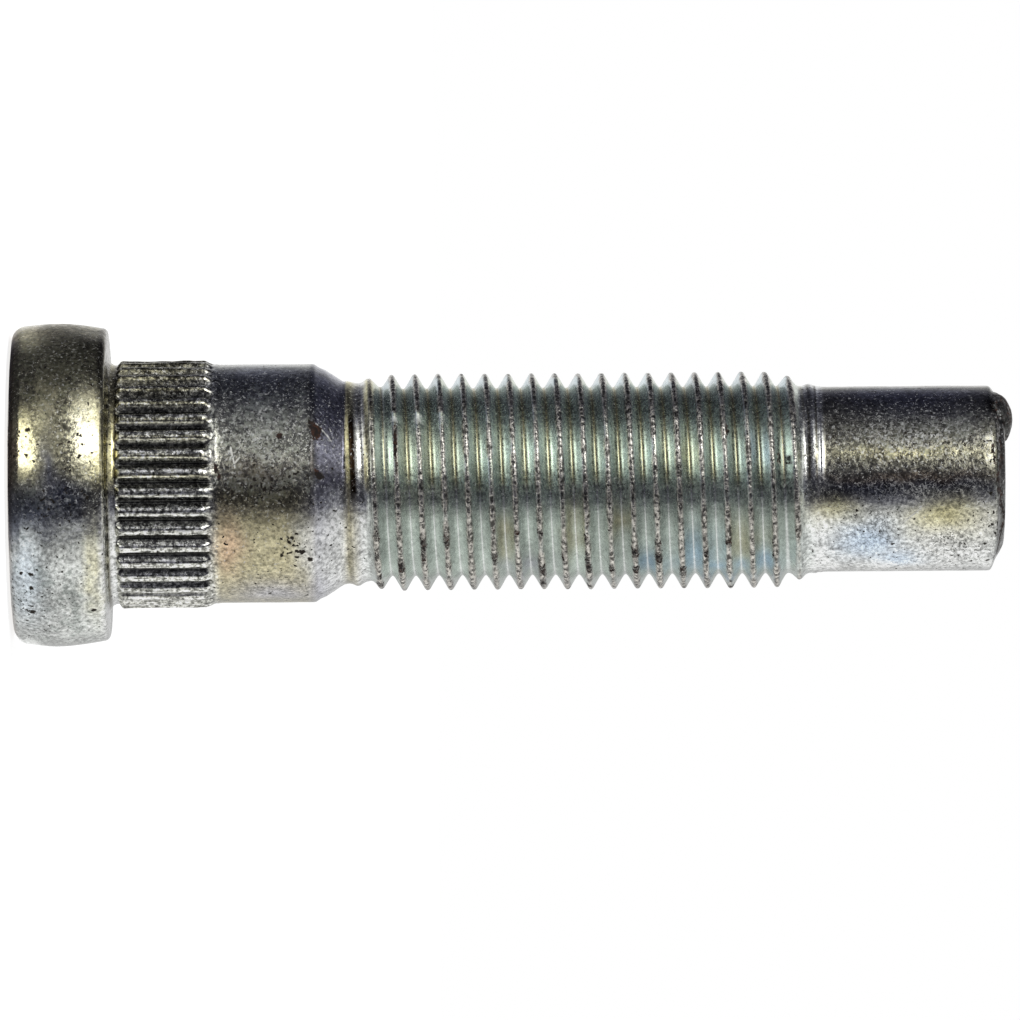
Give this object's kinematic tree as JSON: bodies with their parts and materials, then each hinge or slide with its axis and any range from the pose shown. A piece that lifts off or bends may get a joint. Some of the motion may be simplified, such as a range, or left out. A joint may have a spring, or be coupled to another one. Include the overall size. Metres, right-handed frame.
{
  "type": "wheel stud",
  "caption": "Press-in wheel stud: round head, serrated collar, plain shoulder, right-hand metric thread and a plain guide point.",
  "frame": {"origin": "centre of the flat middle of the head's end face, which the stud stands on", "axes": "+Z along the stud's axis from the head to the tip; -X towards the lobe on the sheared tip"},
  "size_m": [0.0208, 0.0208, 0.0644],
  "materials": {
    "zinc_plate": "zinc plate with a thin yellow and blue passivation, speckled, scratched and spotted with rust from use"
  },
  "bodies": {
    "root": {"wheel_stud": "zinc_plate"}
  },
  "joints": []
}
